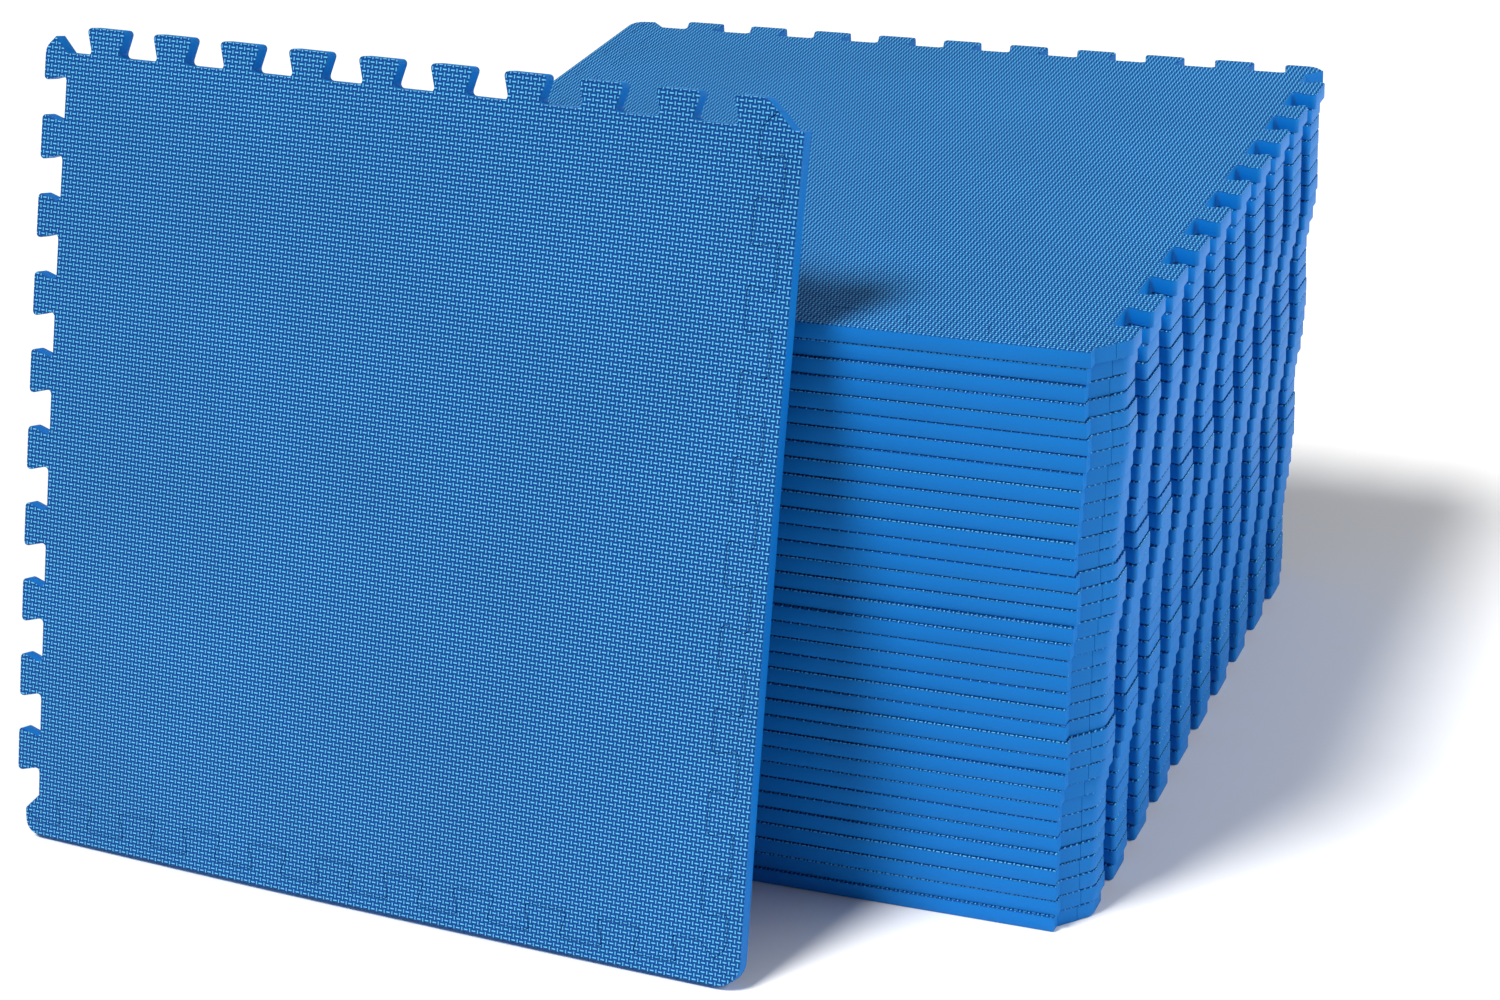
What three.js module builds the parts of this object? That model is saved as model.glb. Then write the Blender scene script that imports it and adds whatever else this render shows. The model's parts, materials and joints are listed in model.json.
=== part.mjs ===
// A stack of interlocking foam blocking mats with one more mat leaning on its front edge.
//
// Every mat is a square tile with dovetail tabs on all four sides, and two straight border strips
// that lock onto two neighbouring sides of the tile. Millimetres, +Z up. The origin is under the
// centre of the bottom mat's tile, on the surface that the stack stands on. The stack's borders
// face -Y (front) and -X (left), and its free tabs face +X and +Y.

import * as THREE from 'three';

// Tile and tabs. A side is measured between its two base corners, where the tabs grow out of it.
const modulePitch = 609.6; // distance between the centres of two joined tiles
const tabsPerSide = 10;
const tabDepth = 21;
const baseSide = modulePitch - tabDepth;
const tabPitch = modulePitch / tabsPerSide;
const tabTipHalf = 16.85;
const tabNeckHalf = tabPitch / 2 - tabTipHalf; // so that a tab fills the valley between two others
const firstTab = (baseSide - (tabsPerSide - 1.5) * tabPitch) / 2; // tabs face the next tile's valleys
const cornerCut = 24; // the 45 degree cut across a tile's corner tab
const cornerPoint = cornerCut / 2;

// Border strips
const borderReach = 33; // from a tile's base line to the straight outer edge
const outerRadius = 20; // round corner where the two strips meet
const stripEndRadius = 12; // round end of the second strip
const seamGap = 0.3;

// Mats and stack
const matThickness = 12.7;
const layerGap = 0.4;
const layerPitch = matThickness + layerGap;
const stackedMats = 35;
const mitredMats = 3; // the top mats whose borders are modelled as pieces of their own
const stackLean = [24.4, 25.5]; // how far the top mat's centre stands from the bottom mat's
const shuffle = [1.8, 0.7]; // how far a mat may lie off the stack's mean line, aside and in depth
const shuffleTurn = 0.12; // degrees

// Leaning mat: where its lower front edge stands, below the tile's left base corner, its heading
// and its lean
const leanFoot = [-518, -438];
const leanHeading = -3.47; // degrees
const leanBack = 16.7; // degrees from upright

const arcSteps = 4;
const inwardBow = 0.02; // used only to cut outlines into triangles
const blue = 0x1f6fc4;
const foam = () => new THREE.MeshStandardMaterial({ color: blue, roughness: 0.7, metalness: 0 });

// A side's own coordinates: s runs clockwise along the base line from corner to corner, t points
// out of the tile. This puts a point of side 0 (top), 1 (right), 2 (bottom) or 3 (left) on the mat.
function place(side, s, t) {
  const point = new THREE.Vector2(s - baseSide / 2, baseSide / 2 + t);
  return point.rotateAround(new THREE.Vector2(0, 0), -side * Math.PI / 2);
}

function tabCentre(index) {
  return firstTab + index * tabPitch;
}

// Half the width of a tab at height t, grown sideways by a clearance.
function tabHalf(t, clearance) {
  const slope = (tabTipHalf - tabNeckHalf) / tabDepth;
  return tabNeckHalf + slope * t + clearance * Math.hypot(1, slope);
}

// The tab line of one side, from its first corner to its last tab's cut corner. With a clearance
// it becomes the mating line of a border strip, which stands that far off the tile.
function tabLine(side, clearance = 0) {
  const points = [];
  const base = clearance;
  const tip = tabDepth + clearance;
  for (let index = 0; index < tabsPerSide; index += 1) {
    const centre = tabCentre(index);
    points.push(place(side, centre - tabHalf(base, clearance), base));
    points.push(place(side, centre - tabHalf(tip, clearance), tip));
    if (index < tabsPerSide - 1) {
      points.push(place(side, centre + tabHalf(tip, clearance), tip));
      points.push(place(side, centre + tabHalf(base, clearance), base));
    }
  }
  const cut = cornerCut + clearance * Math.SQRT2;
  points.push(place(side, baseSide + cut - tip, tip));
  return points;
}

// A round corner on a side: centre (s, t), from one angle to another, in degrees from the s axis.
function arc(side, s, t, radius, from, to) {
  const points = [];
  for (let step = 0; step <= arcSteps; step += 1) {
    const angle = THREE.MathUtils.degToRad(from + (to - from) * step / arcSteps);
    points.push(place(side, s + radius * Math.cos(angle), t + radius * Math.sin(angle)));
  }
  return points;
}

// One free side of a tile with its cut corner, ending just before the next side's first point.
function freeSide(side) {
  return [
    place(side, 0, 0),
    ...tabLine(side),
    place(side, baseSide + cornerPoint, cornerPoint),
  ];
}

function tileOutline() {
  return [0, 1, 2, 3].flatMap(freeSide);
}

// The outer corner between the two border strips, as two halves that meet at the mitre.
function outerCorner(from, to) {
  const inset = borderReach - outerRadius;
  return arc(1, baseSide + inset, inset, outerRadius, from, to);
}

function secondStripEnd() {
  const round = stripEndRadius;
  return arc(2, baseSide + cornerPoint - round, borderReach - round, round, 90, 0);
}

// The strip on the mat's right: a cut nose at its top, a mitre at its bottom.
function firstStripOutline() {
  const nose = cornerPoint + seamGap / Math.SQRT2;
  const mitre = (cornerCut + seamGap * Math.SQRT2) / 2;
  return [
    place(1, 0, cornerCut),
    place(1, 0, borderReach),
    ...outerCorner(90, 45),
    place(1, baseSide + mitre, mitre),
    ...tabLine(1, seamGap).reverse(),
    place(1, seamGap * (Math.SQRT2 - 1), seamGap),
    place(1, nose - cornerCut, nose),
  ];
}

// The strip along the mat's bottom: a mitre at its right, a round end at its left.
function secondStripOutline() {
  const inset = borderReach - outerRadius;
  const shift = seamGap * Math.SQRT2;
  const mitreTip = inset + outerRadius * Math.SQRT1_2;
  const [, ...corner] = arc(2, -inset, inset, outerRadius, 135, 90);
  return [
    place(2, shift - mitreTip, mitreTip),
    ...corner,
    ...secondStripEnd(),
    place(2, baseSide + cornerPoint, cornerPoint + shift),
    ...tabLine(2, seamGap).reverse(),
    place(2, seamGap * (Math.SQRT2 - 1), seamGap),
  ];
}

// A whole mat in one outline, for the layers whose seams are hidden in the stack.
function matOutline() {
  return [
    place(0, 0, 0),
    ...tabLine(0),
    place(1, 0, cornerCut),
    place(1, 0, borderReach),
    ...outerCorner(90, 0),
    ...secondStripEnd(),
    place(2, baseSide + cornerPoint, cornerPoint),
    ...freeSide(3),
  ];
}

// The outline's triangles. Valley floors lie on one straight line, where three points in a row would
// make a triangle with no area, so the outline is bowed a little while it is being cut up.
function capTriangles(outline, bow) {
  const bowed = outline.map((point) => (
    point.clone().multiplyScalar(1 + bow * point.lengthSq() / baseSide ** 2)));
  return THREE.ShapeUtils.triangulateShape(bowed, []).map(([a, b, c]) => {
    const counterclockwise = THREE.ShapeUtils.area([bowed[a], bowed[b], bowed[c]]) > 0;
    return counterclockwise ? [a, b, c] : [a, c, b];
  });
}

// A sheet of foam with this outline, given clockwise, from z = 0 up to the mat's face.
function slab(outline, bow) {
  const count = outline.length;
  const positions = [];
  for (const z of [0, matThickness]) {
    outline.forEach((point) => positions.push(point.x, point.y, z));
  }
  const index = [];
  capTriangles(outline, bow).forEach(([a, b, c]) => {
    index.push(a + count, b + count, c + count);
    index.push(c, b, a);
  });
  outline.forEach((_, here) => {
    const next = (here + 1) % count;
    index.push(next, here, here + count);
    index.push(next, here + count, next + count);
  });
  const geometry = new THREE.BufferGeometry();
  geometry.setAttribute('position', new THREE.Float32BufferAttribute(positions, 3));
  geometry.setIndex(index);
  geometry.computeVertexNormals();
  return geometry;
}

function addPiece(group, name, geometry) {
  const mesh = new THREE.Mesh(geometry, foam());
  mesh.name = name;
  group.add(mesh);
}

function addMitredMat(group, name, firstStrip, secondStrip) {
  addPiece(group, `${name}_tile`, tileGeometry);
  addPiece(group, `${name}_${firstStrip}`, firstStripGeometry);
  addPiece(group, `${name}_${secondStrip}`, secondStripGeometry);
}

// A mat of the stack lies with its first strip in front and its second strip on the left.
function stackedMat(layer) {
  const share = (layer - 1) / (stackedMats - 1);
  const loose = layer === 1 || layer === stackedMats ? 0 : 1;
  const mat = new THREE.Group();
  mat.position.set(
    stackLean[0] * share + loose * shuffle[0] * Math.sin(0.7 * layer),
    stackLean[1] * share + loose * shuffle[1] * Math.cos(0.9 * layer),
    (layer - 1) * layerPitch,
  );
  const turn = loose * shuffleTurn * Math.sin(1.3 * layer);
  mat.rotation.z = THREE.MathUtils.degToRad(turn - 90);
  return mat;
}

// The leaning mat stands on its second strip, with its face to the front.
function leaningMat() {
  const lean = THREE.MathUtils.degToRad(leanBack);
  const centreToEdge = baseSide / 2 + borderReach;
  const mat = new THREE.Group();
  mat.rotation.x = Math.PI / 2 - lean;
  mat.position.set(
    baseSide / 2,
    centreToEdge * Math.sin(lean) + matThickness * Math.cos(lean),
    centreToEdge * Math.cos(lean),
  );
  const stand = new THREE.Group();
  stand.position.set(leanFoot[0], leanFoot[1], 0);
  stand.rotation.z = THREE.MathUtils.degToRad(leanHeading);
  stand.add(mat);
  addMitredMat(mat, 'leaning_mat', 'right_border', 'bottom_border');
  return stand;
}

const matGeometry = slab(matOutline(), inwardBow);
const tileGeometry = slab(tileOutline(), inwardBow);
const firstStripGeometry = slab(firstStripOutline(), -inwardBow);
const secondStripGeometry = slab(secondStripOutline(), -inwardBow);

const blockingMats = new THREE.Group();
for (let layer = 1; layer <= stackedMats; layer += 1) {
  const name = `stack_mat_${String(layer).padStart(2, '0')}`;
  const mat = stackedMat(layer);
  if (layer > stackedMats - mitredMats) {
    addMitredMat(mat, name, 'front_border', 'left_border');
  } else {
    addPiece(mat, name, matGeometry);
  }
  blockingMats.add(mat);
}
blockingMats.add(leaningMat());

export default blockingMats;
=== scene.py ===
"""Looks of a stack of interlocking foam blocking mats, with one more mat leaning on its front edge.

Every mat is a square tile with dovetail tabs on all four sides, and two straight border strips that
lock onto two of its sides. The pieces are made in a mat's own frame, with x to its right, y up its
face and z out of it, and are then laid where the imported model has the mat. Metres, +Z up.
"""

import json
import math

import bmesh
import bpy
from mathutils import Matrix, Vector, noise


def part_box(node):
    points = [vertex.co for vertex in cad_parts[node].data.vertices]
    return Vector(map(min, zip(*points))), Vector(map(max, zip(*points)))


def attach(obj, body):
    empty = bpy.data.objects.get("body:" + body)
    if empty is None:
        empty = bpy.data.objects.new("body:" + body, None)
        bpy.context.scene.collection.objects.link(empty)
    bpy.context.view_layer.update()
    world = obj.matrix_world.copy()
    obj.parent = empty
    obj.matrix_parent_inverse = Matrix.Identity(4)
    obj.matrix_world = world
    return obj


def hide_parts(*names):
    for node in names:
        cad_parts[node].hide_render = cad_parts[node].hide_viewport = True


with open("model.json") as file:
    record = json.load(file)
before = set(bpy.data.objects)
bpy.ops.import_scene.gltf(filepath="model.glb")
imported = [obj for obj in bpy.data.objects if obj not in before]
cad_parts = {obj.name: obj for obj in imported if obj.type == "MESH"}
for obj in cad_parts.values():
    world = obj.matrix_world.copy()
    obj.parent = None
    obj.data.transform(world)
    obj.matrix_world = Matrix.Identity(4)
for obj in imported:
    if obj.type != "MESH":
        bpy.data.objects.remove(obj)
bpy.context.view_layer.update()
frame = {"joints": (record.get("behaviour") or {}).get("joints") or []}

# A tile and its tabs. A side is measured between its two base corners, where the tabs grow out of it.
MODULE = 0.6096
TABS = 10
TAB_DEPTH = 0.021
SIDE = MODULE - TAB_DEPTH
PITCH = MODULE / TABS
TIP_HALF = 0.0182
NECK_HALF = PITCH / 2 - TIP_HALF
FIRST_TAB = (SIDE - (TABS - 1.5) * PITCH) / 2
CORNER_CUT = 0.024
CORNER_POINT = CORNER_CUT / 2
THICKNESS = 0.0127
HALF = SIDE / 2

# Border strips
BORDER = 0.033
OUTER_RADIUS = 0.020
STRIP_END_RADIUS = 0.012
SEAM = 0.0003

# Softened corners and edges of the cut foam. An edge that turns less than SMOOTH_UNDER is shaded round.
TAB_ROUND = 0.0045
TAB_ROUND_STEPS = 4
FACE_EDGE = 0.0009
SEAM_EDGE = 0.0003
EDGE_STEPS = 2
ROUND_STEPS = 6
FLAT = 0.999
SMOOTH_UNDER = math.radians(35)

# Stack and leaning mat. From LOOSE_STRIPS_FROM up, the strips have nodes of their own. A mat inside
# the stack is turned by up to TURN_REACH, in a wave that moves on by TURN_PER_LAYER radians a layer,
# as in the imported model. It is smaller by INNER_SHRINK of its size, and up to SIZE_SCATTER more.
STACKED = 35
LOOSE_STRIPS_FROM = 33
TURN_REACH = math.radians(0.12)
TURN_PER_LAYER = 1.3
LAYER_SEED = Vector((1.7, 2.3, 3.1))
LEANING_BOW = (0.004, 0.0055)  # across and up the mat
BEND_GRID = 0.05
CUT_WANDER = 0.0004
LIE_UNEVEN = 0.00015
WANDER_SIZE = 0.16
SIZE_SCATTER = 0.0016
INNER_SHRINK = 0.0016

# Embossed weave: raised dashes, upright and level ones by turns. The uprights stand a little lower.
CELL_WIDE = 0.00339
CELL_HIGH = 0.0035
UPRIGHT_HALF = (0.0006, 0.0015)
LEVEL_HALF = (0.0017, 0.0006)
DASH_SOFT = 0.0003
# UPRIGHT_SHARE also gives the upright dashes a little less of the painted highlight.
UPRIGHT_SHARE = 0.9
WEAVE_HEIGHT = 0.0012

# Grain of the foam, and the broad unevenness of its colour
GRAIN_SIZE = 0.0016
GRAIN_HEIGHT = 0.00012
GRAIN_TONE = 0.08
BROAD_SIZE = 0.12
BROAD_TONE = 0.2
DARKEST_TONE = 0.86

# The raised dashes' lighter blue is a painted highlight, and the grooves' darker blue is painted shade.
DASH_BLUE_PAINTED_HIGHLIGHT = (0.13, 0.60, 1.0, 1)
GROOVE_BLUE_PAINTED_SHADE = (0.0, 0.06, 0.30, 1)
BLUE_CUT = (0.003, 0.18, 0.58, 1)
BLUE_BACK = (0.004, 0.15, 0.50, 1)
FLOOR_TONES = ((0.94, 0.93, 0.91, 1), (0.96, 0.95, 0.93, 1))


# ---- outlines ------------------------------------------------------------------------------------

def place(side, s, t):
    """A point on side 0 (top), 1 (right), 2 (bottom) or 3 (left): s along the base line, t outward."""
    point = Vector((s - HALF, HALF + t, 0))
    return Matrix.Rotation(-side * math.pi / 2, 3, "Z") @ point


def tab_half(t, clearance):
    slope = (TIP_HALF - NECK_HALF) / TAB_DEPTH
    return NECK_HALF + slope * t + clearance * math.hypot(1, slope)


def tab_line(side, clearance=0.0):
    """The corners of one side's tabs. With a clearance it is a border strip's mating line."""
    base = clearance
    tip = TAB_DEPTH + clearance
    points = []
    for index in range(TABS):
        centre = FIRST_TAB + index * PITCH
        points.append(place(side, centre - tab_half(base, clearance), base))
        points.append(place(side, centre - tab_half(tip, clearance), tip))
        if index < TABS - 1:
            points.append(place(side, centre + tab_half(tip, clearance), tip))
            points.append(place(side, centre + tab_half(base, clearance), base))
    cut = CORNER_CUT + clearance * math.sqrt(2)
    points.append(place(side, SIDE + cut - tip, tip))
    return points


def arc(side, s, t, radius, start, stop):
    """A round corner of the outline, from one angle to another, in degrees from the s axis."""
    turns = [math.radians(start + (stop - start) * k / ROUND_STEPS) for k in range(ROUND_STEPS + 1)]
    return [place(side, s + radius * math.cos(a), t + radius * math.sin(a)) for a in turns]


def tile_outline():
    """The tile's corners to round off, and the rest of its points."""
    tabs, points = [], []
    for side in range(4):
        line = tab_line(side)
        tabs += line
        points += [place(side, 0, 0), *line, place(side, SIDE + CORNER_POINT, CORNER_POINT)]
    return tabs, points


def first_strip_outline():
    """The strip on the mat's right: a cut nose at its top, a mitre at its bottom."""
    inset = BORDER - OUTER_RADIUS
    nose = CORNER_POINT + SEAM / math.sqrt(2)
    mitre = (CORNER_CUT + SEAM * math.sqrt(2)) / 2
    tabs = tab_line(1, SEAM)
    points = [
        place(1, 0, CORNER_CUT),
        place(1, 0, BORDER),
        *arc(1, SIDE + inset, inset, OUTER_RADIUS, 90, 45),
        place(1, SIDE + mitre, mitre),
        *reversed(tabs),
        place(1, SEAM * (math.sqrt(2) - 1), SEAM),
        place(1, nose - CORNER_CUT, nose),
    ]
    return tabs, points


def second_strip_outline():
    """The strip along the mat's bottom: a mitre at its right, a round end at its left."""
    inset = BORDER - OUTER_RADIUS
    shift = SEAM * math.sqrt(2)
    mitre_tip = inset + OUTER_RADIUS / math.sqrt(2)
    end = STRIP_END_RADIUS
    tabs = tab_line(2, SEAM)
    points = [
        place(2, shift - mitre_tip, mitre_tip),
        *arc(2, -inset, inset, OUTER_RADIUS, 135, 90)[1:],
        *arc(2, SIDE + CORNER_POINT - end, BORDER - end, end, 90, 0),
        place(2, SIDE + CORNER_POINT, CORNER_POINT + shift),
        *reversed(tabs),
        place(2, SEAM * (math.sqrt(2) - 1), SEAM),
    ]
    return tabs, points


# ---- foam pieces ---------------------------------------------------------------------------------

def is_tile_rim(middle):
    """True on the tile's two free sides, its top and its left."""
    return middle.y > HALF - SEAM or middle.x < SEAM - HALF


def is_strip_rim(middle):
    """True on a border strip's outer edge, outside the tabs that it mates with."""
    reach = HALF + TAB_DEPTH + 2 * SEAM
    return middle.x > reach or middle.y < -reach


def grid_cuts():
    """The places of the cuts that let a mat bend, on either axis."""
    count = round((SIDE + 2 * BORDER) / BEND_GRID)
    return [(k - count / 2) * BEND_GRID for k in range(count + 1)]


def is_cap(face):
    return abs(face.normal.z) > FLAT


def cut_foam(name, outline, is_free):
    """A mesh of one piece cut from the sheet. Its free edges are softened more than its seams."""
    tabs, points = outline
    work = bmesh.new()
    corners = [work.verts.new(point) for point in points]
    work.faces.new(corners)
    rounded = [v for v in work.verts if any((v.co - tab).length < SEAM / 10 for tab in tabs)]
    bmesh.ops.bevel(
        work, geom=rounded, offset=TAB_ROUND, segments=TAB_ROUND_STEPS, profile=0.5,
        affect="VERTICES", material=-1)
    for axis in (Vector((1, 0, 0)), Vector((0, 1, 0))):
        for cut in grid_cuts():
            everything = work.verts[:] + work.edges[:] + work.faces[:]
            bmesh.ops.bisect_plane(
                work, geom=everything, dist=SEAM / 100, plane_co=axis * cut, plane_no=axis)
    grown = bmesh.ops.extrude_face_region(work, geom=work.faces[:])
    raised = [item for item in grown["geom"] if isinstance(item, bmesh.types.BMVert)]
    bmesh.ops.translate(work, verts=raised, vec=(0, 0, THICKNESS))
    bmesh.ops.recalc_face_normals(work, faces=work.faces[:])
    free, mating = [], []
    for edge in work.edges:
        middle = (edge.verts[0].co + edge.verts[1].co) / 2
        if sum(is_cap(face) for face in edge.link_faces) == 1:
            (free if is_free(middle) else mating).append(edge)
    bmesh.ops.bevel(
        work, geom=free, offset=FACE_EDGE, segments=EDGE_STEPS, profile=0.5, affect="EDGES",
        material=-1)
    mating = [edge for edge in mating if edge.is_valid]
    bmesh.ops.bevel(
        work, geom=mating, offset=SEAM_EDGE, segments=1, profile=0.5, affect="EDGES", material=-1)
    work.normal_update()
    for face in work.faces:
        face.smooth = True
    for edge in work.edges:
        turn = edge.calc_face_angle(0)
        same_kind = len({is_cap(face) for face in edge.link_faces}) == 1
        edge.smooth = turn < SMOOTH_UNDER and same_kind
    mesh = bpy.data.meshes.new(name)
    work.to_mesh(mesh)
    work.free()
    return mesh


TILE = cut_foam("tile", tile_outline(), is_tile_rim)
FIRST_STRIP = cut_foam("first_strip", first_strip_outline(), is_strip_rim)
SECOND_STRIP = cut_foam("second_strip", second_strip_outline(), is_strip_rim)


# ---- materials -----------------------------------------------------------------------------------

class Value:
    """A number or a vector in a node tree. Arithmetic on it adds Math nodes."""

    def __init__(self, paint, source, socket):
        self.paint = paint
        self.source = source
        self.socket = socket

    def out(self, name):
        """Another output of the same node."""
        return Value(self.paint, self.source, self.source.outputs[name])

    def math(self, operation, *values):
        return self.paint.node("ShaderNodeMath", {"operation": operation}, dict(enumerate(values)))

    def __add__(self, other):
        return self.math("ADD", self, other)

    def __radd__(self, other):
        return self.math("ADD", other, self)

    def __sub__(self, other):
        return self.math("SUBTRACT", self, other)

    def __rsub__(self, other):
        return self.math("SUBTRACT", other, self)

    def __mul__(self, other):
        return self.math("MULTIPLY", self, other)

    def __rmul__(self, other):
        return self.math("MULTIPLY", other, self)

    def greater(self, other):
        return self.math("MAXIMUM", self, other)

    def pingpong(self, reach):
        """Distance from the nearest even multiple of reach."""
        return self.math("PINGPONG", self, reach)


class Paint:
    """A material under construction."""

    def __init__(self, name):
        self.material = bpy.data.materials.new(name)
        self.material.use_nodes = True
        self.tree = self.material.node_tree
        self.shader = self.tree.nodes["Principled BSDF"]

    def node(self, kind, settings, inputs):
        """Adds a node, makes its settings, and then sets or links its sockets."""
        made = self.tree.nodes.new(kind)
        for key, value in settings.items():
            setattr(made, key, value)
        for key, value in inputs.items():
            self.feed(made.inputs[key], value)
        return Value(self, made, made.outputs[0])

    def feed(self, socket, value):
        if isinstance(value, Value):
            self.tree.links.new(value.socket, socket)
        else:
            socket.default_value = value

    def surface(self, **inputs):
        for key, value in inputs.items():
            self.feed(self.shader.inputs[key.replace("_", " ")], value)

    def mix(self, share, first, second, blend="MIX"):
        """A mix of two colours, by a share from 0 to 1. The node's inputs 6 and 7 are its colours."""
        mixed = self.node(
            "ShaderNodeMix", {"data_type": "RGBA", "blend_type": blend},
            {"Factor": share, 6: first, 7: second})
        return Value(self, mixed.source, mixed.source.outputs[2])

    def fade(self, value, start, stop, low=0.0, high=1.0):
        """A smooth step from low to high as the value goes from start to stop."""
        return self.node(
            "ShaderNodeMapRange", {"interpolation_type": "SMOOTHSTEP"},
            {"Value": value, "From Min": start, "From Max": stop, "To Min": low, "To Max": high})

    def noise(self, where, size, detail=2.0):
        """Noise from 0 to 1, with features of about this size in metres."""
        return self.node(
            "ShaderNodeTexNoise", {},
            {"Vector": where, "Scale": 1 / size, "Detail": detail, "Roughness": 0.55})


def dash(paint, across, along, half):
    """1 on a raised dash and 0 off it, from the distances to its middle."""
    wide = paint.fade(across, half[0] - DASH_SOFT, half[0] + DASH_SOFT, 1, 0)
    long = paint.fade(along, half[1] - DASH_SOFT, half[1] + DASH_SOFT, 1, 0)
    return wide * long


def weave(paint, x, y):
    """The embossed face: upright and level dashes take turns, like squares on a chessboard."""
    column = x.pingpong(CELL_WIDE)
    row = y.pingpong(CELL_HIGH)
    next_column = CELL_WIDE - column
    next_row = CELL_HIGH - row
    uprights = dash(paint, column, row, UPRIGHT_HALF).greater(
        dash(paint, next_column, next_row, UPRIGHT_HALF))
    levels = dash(paint, next_column, row, LEVEL_HALF).greater(
        dash(paint, column, next_row, LEVEL_HALF))
    return (uprights * UPRIGHT_SHARE).greater(levels)


def blue_foam():
    """Closed-cell foam: an embossed face, a smooth back with a fine skin, and grainy cut edges."""
    paint = Paint("blue_foam")
    on_mat = paint.node("ShaderNodeAttribute", {"attribute_name": "on_mat"}, {}).out("Vector")
    where = paint.node("ShaderNodeTexCoord", {}, {}).out("Object")
    x = paint.node("ShaderNodeSeparateXYZ", {}, {"Vector": on_mat})
    y = x.out("Y")
    z = x.out("Z")
    # The raised dashes give the bump, and also say where highlight and shade are painted.
    raised = weave(paint, x, y)
    face = paint.fade(z, THICKNESS - FACE_EDGE * 1.2, THICKNESS - FACE_EDGE * 0.1)
    back = paint.fade(z, FACE_EDGE * 0.2, FACE_EDGE * 0.8, 1, 0)
    broad = paint.noise(where, BROAD_SIZE)
    grain = paint.noise(where, GRAIN_SIZE, 3.0)
    # Painted highlight on the dashes, painted shade in the grooves between them.
    embossed = paint.mix(raised, GROOVE_BLUE_PAINTED_SHADE, DASH_BLUE_PAINTED_HIGHLIGHT)
    cut = paint.mix(back, BLUE_CUT, BLUE_BACK)
    foam = paint.mix(face, cut, embossed)
    shade = DARKEST_TONE + broad * BROAD_TONE + grain * GRAIN_TONE
    grey = paint.node("ShaderNodeCombineXYZ", {}, {0: shade, 1: shade, 2: shade})
    toned = paint.mix(1.0, foam, grey, "MULTIPLY")
    height = face * raised * WEAVE_HEIGHT + grain * (1 - face) * GRAIN_HEIGHT
    bump = paint.node("ShaderNodeBump", {}, {"Height": height, "Distance": 1.0, "Strength": 1.0})
    paint.surface(Base_Color=toned, Roughness=0.5, Specular_IOR_Level=0.15, Normal=bump)
    return paint.material


def floor_white():
    paint = Paint("floor_white")
    where = paint.node("ShaderNodeTexCoord", {}, {}).out("Object")
    tone = paint.noise(where, 0.8)
    paint.surface(Base_Color=paint.mix(tone, *FLOOR_TONES), Roughness=0.9)
    return paint.material


FOAM = blue_foam()


# ---- laying the mats -----------------------------------------------------------------------------

def lay_piece(name, shape, frame_node, body, where, settle, pattern_shift):
    """Copies a cut piece, lets the foam settle, and puts it where the mat lies."""
    mesh = shape.copy()
    mesh.name = name
    on_mat = mesh.attributes.new("on_mat", "FLOAT_VECTOR", "POINT")
    for vertex in mesh.vertices:
        on_mat.data[vertex.index].vector = vertex.co + pattern_shift
        vertex.co = where @ settle(vertex.co)
    mesh.materials.append(FOAM)
    piece = bpy.data.objects.new(name, mesh)
    bpy.context.scene.collection.objects.link(piece)
    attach(piece, body)
    if frame_node:
        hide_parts(frame_node)
    return piece


def stacked_mat(layer):
    """One mat of the stack, with its first strip in front and its second strip on the left."""
    node = f"stack_mat_{layer:02d}"
    names = (f"{node}_tile", f"{node}_front_border", f"{node}_left_border")
    if layer < LOOSE_STRIPS_FROM:
        cad_nodes = (node, None, None)
        boxes = [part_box(node)]
    else:
        cad_nodes = names
        boxes = [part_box(name) for name in names]
    low = Vector([min(box[0][axis] for box in boxes) for axis in range(3)])
    high = Vector([max(box[1][axis] for box in boxes) for axis in range(3)])
    # The strips reach further out than the tabs, so the middle of a mat's box isn't its tile's.
    aside = (BORDER - TAB_DEPTH) / 2
    inner = layer not in (1, STACKED)
    turn = TURN_REACH * math.sin(TURN_PER_LAYER * layer) if inner else 0
    where = (
        Matrix.Translation(((low.x + high.x) / 2 + aside, (low.y + high.y) / 2 + aside, low.z))
        @ Matrix.Rotation(turn - math.pi / 2, 4, "Z"))
    scatter = INNER_SHRINK + noise.random() * SIZE_SCATTER if inner else 0
    seed = LAYER_SEED * layer

    def settle(point):
        sway = noise.noise_vector(point / WANDER_SIZE + seed)
        flat = Vector((sway.x * CUT_WANDER, sway.y * CUT_WANDER, sway.z * LIE_UNEVEN))
        if point.z == 0 and layer == 1:
            flat.z = 0
        return Vector((point.x * (1 - scatter), point.y * (1 - scatter), point.z)) + flat

    pattern_shift = Vector((noise.random() * 2 * CELL_WIDE, noise.random() * 2 * CELL_HIGH, 0))
    for name, shape, cad_node in zip(names, (TILE, FIRST_STRIP, SECOND_STRIP), cad_nodes):
        lay_piece(name, shape, cad_node, f"mat_{layer:02d}", where, settle, pattern_shift)


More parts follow.
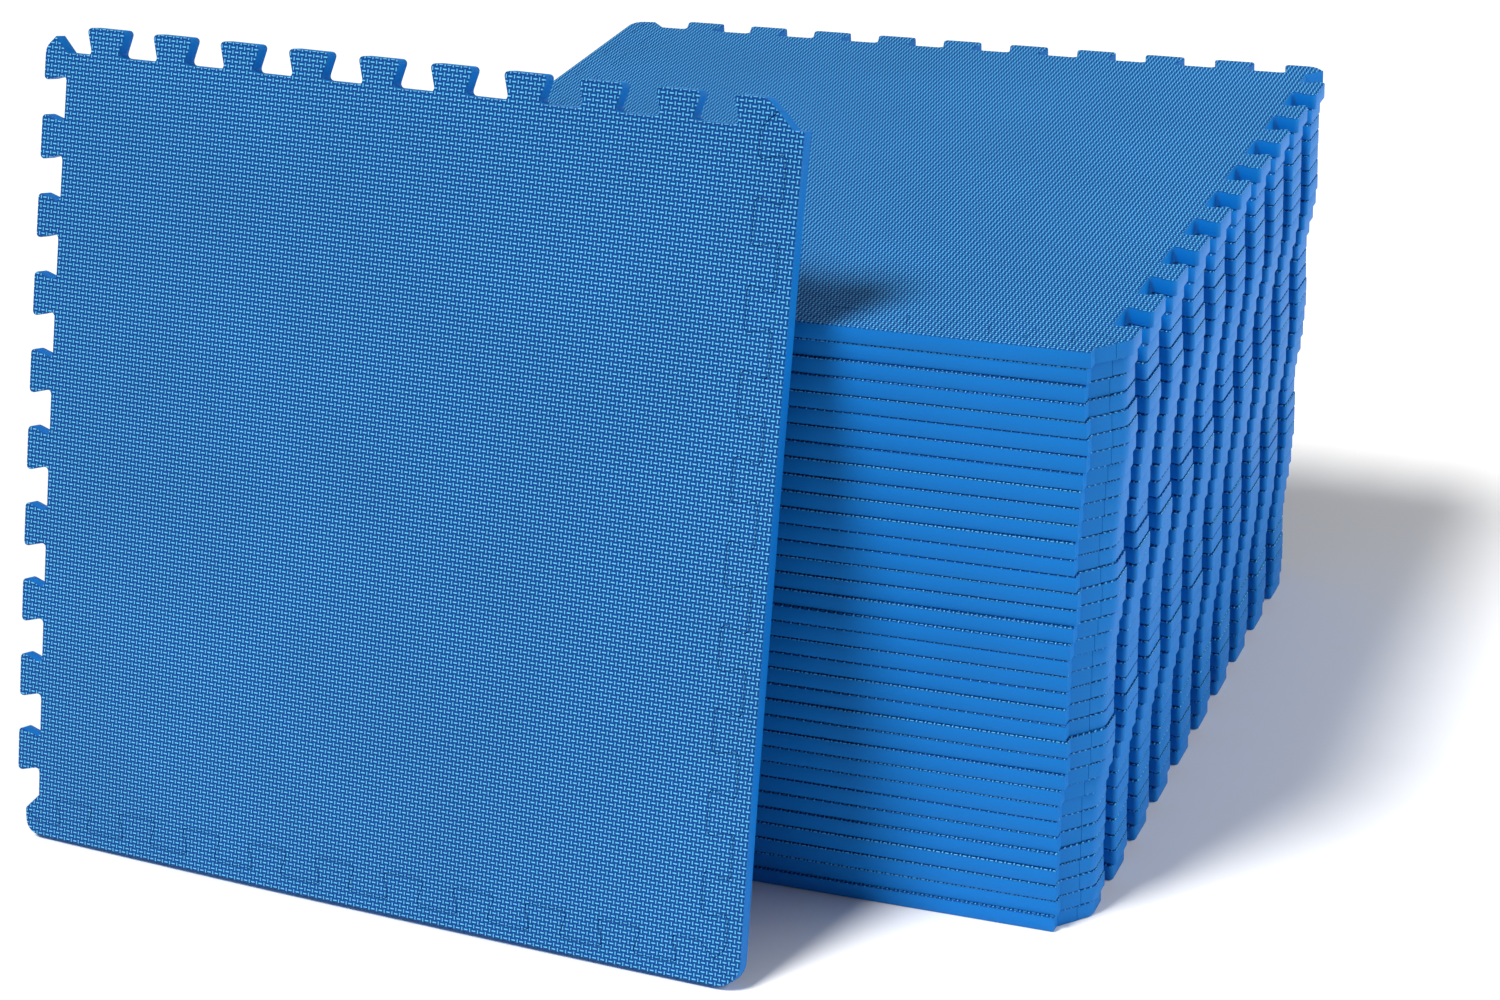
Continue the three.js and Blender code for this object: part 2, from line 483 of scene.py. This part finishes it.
def leaning_mat():
    """The mat that stands on its second strip, bowed a little towards its face."""
    joints = {joint["name"]: joint for joint in frame["joints"]}
    tilt = joints["leaning_mat_tilt"]
    out = Vector(joints["leaning_right_border_pull"]["axis"]).normalized()
    right = -Vector(tilt["axis"]).normalized()
    up = out.cross(right)
    foot = Vector(tilt["pos_m"])
    centre = foot + right * HALF + up * (HALF + BORDER) - out * THICKNESS
    where = Matrix.Translation(centre) @ Matrix((right, up, out)).transposed().to_4x4()
    reach = HALF + BORDER

    def settle(point):
        across = LEANING_BOW[0] * max(1 - (point.x / reach) ** 2, 0)
        rise = LEANING_BOW[1] * max(1 - (point.y / reach) ** 2, 0)
        sway = noise.noise_vector(point / WANDER_SIZE)
        return point + Vector((sway.x * CUT_WANDER, sway.y * CUT_WANDER, across + rise))

    pieces = (
        ("leaning_mat_tile", TILE, "leaning_mat"),
        ("leaning_mat_right_border", FIRST_STRIP, "leaning_right_border"),
        ("leaning_mat_bottom_border", SECOND_STRIP, "leaning_bottom_border"),
    )
    for name, shape, body in pieces:
        lay_piece(name, shape, name, body, where, settle, Vector((0, 0, 0)))


# ---- studio --------------------------------------------------------------------------------------

CAMERA_PLACE = Vector((0.9421, -2.3458, 1.3610))
CAMERA_AIM = Vector((0.0084, -0.1869, 0.2532))
CAMERA_ROLL = -3.21
LENS = 80.68

LIT_POINT = Vector((0, -0.1, 0.3))
SUN_DIRECTION = Vector((0.30, 0.40, -0.87))
SUN_STRENGTH = 3.45
SUN_ANGLE = math.radians(18)
FILL_PLACE = Vector((2.6, 0.5, 1.5))
FILL_SIZE = 1.5
FILL_POWER = 40
WORLD_STRENGTH = 0.15

FLOOR_HALF = 12
FLOOR_DROP = 0.0002


def set_camera():
    camera = bpy.data.objects.new("camera", bpy.data.cameras.new("camera"))
    camera.data.lens = LENS
    aim = (CAMERA_AIM - CAMERA_PLACE).to_track_quat("-Z", "Y").to_matrix().to_4x4()
    roll = Matrix.Rotation(math.radians(CAMERA_ROLL), 4, "Z")
    camera.matrix_world = Matrix.Translation(CAMERA_PLACE) @ aim @ roll
    bpy.context.scene.collection.objects.link(camera)
    bpy.context.scene.camera = camera


def add_fill():
    lamp = bpy.data.lights.new("fill_right", "AREA")
    lamp.shape = "SQUARE"
    lamp.size = FILL_SIZE
    lamp.energy = FILL_POWER
    softbox = bpy.data.objects.new("fill_right", lamp)
    softbox.rotation_euler = (LIT_POINT - FILL_PLACE).to_track_quat("-Z", "Y").to_euler()
    softbox.location = FILL_PLACE
    bpy.context.scene.collection.objects.link(softbox)


def add_sun():
    lamp = bpy.data.lights.new("key_sun", "SUN")
    lamp.energy = SUN_STRENGTH
    lamp.angle = SUN_ANGLE
    sun = bpy.data.objects.new("key_sun", lamp)
    sun.rotation_euler = SUN_DIRECTION.to_track_quat("-Z", "Y").to_euler()
    bpy.context.scene.collection.objects.link(sun)


def set_light():
    add_sun()
    add_fill()
    world = bpy.data.worlds.new("studio")
    world.use_nodes = True
    backdrop = world.node_tree.nodes["Background"]
    backdrop.inputs["Color"].default_value = (1, 1, 1, 1)
    backdrop.inputs["Strength"].default_value = WORLD_STRENGTH
    bpy.context.scene.world = world
    bpy.context.scene.view_settings.view_transform = "Standard"


def add_floor():
    work = bmesh.new()
    bmesh.ops.create_grid(work, x_segments=2, y_segments=2, size=FLOOR_HALF)
    bmesh.ops.translate(work, verts=work.verts[:], vec=(0, 0, -FLOOR_DROP))
    mesh = bpy.data.meshes.new("floor")
    work.to_mesh(mesh)
    work.free()
    mesh.materials.append(floor_white())
    floor = bpy.data.objects.new("floor", mesh)
    bpy.context.scene.collection.objects.link(floor)


set_camera()
set_light()
add_floor()
noise.seed_set(7)
for number in range(1, STACKED + 1):
    stacked_mat(number)
leaning_mat()
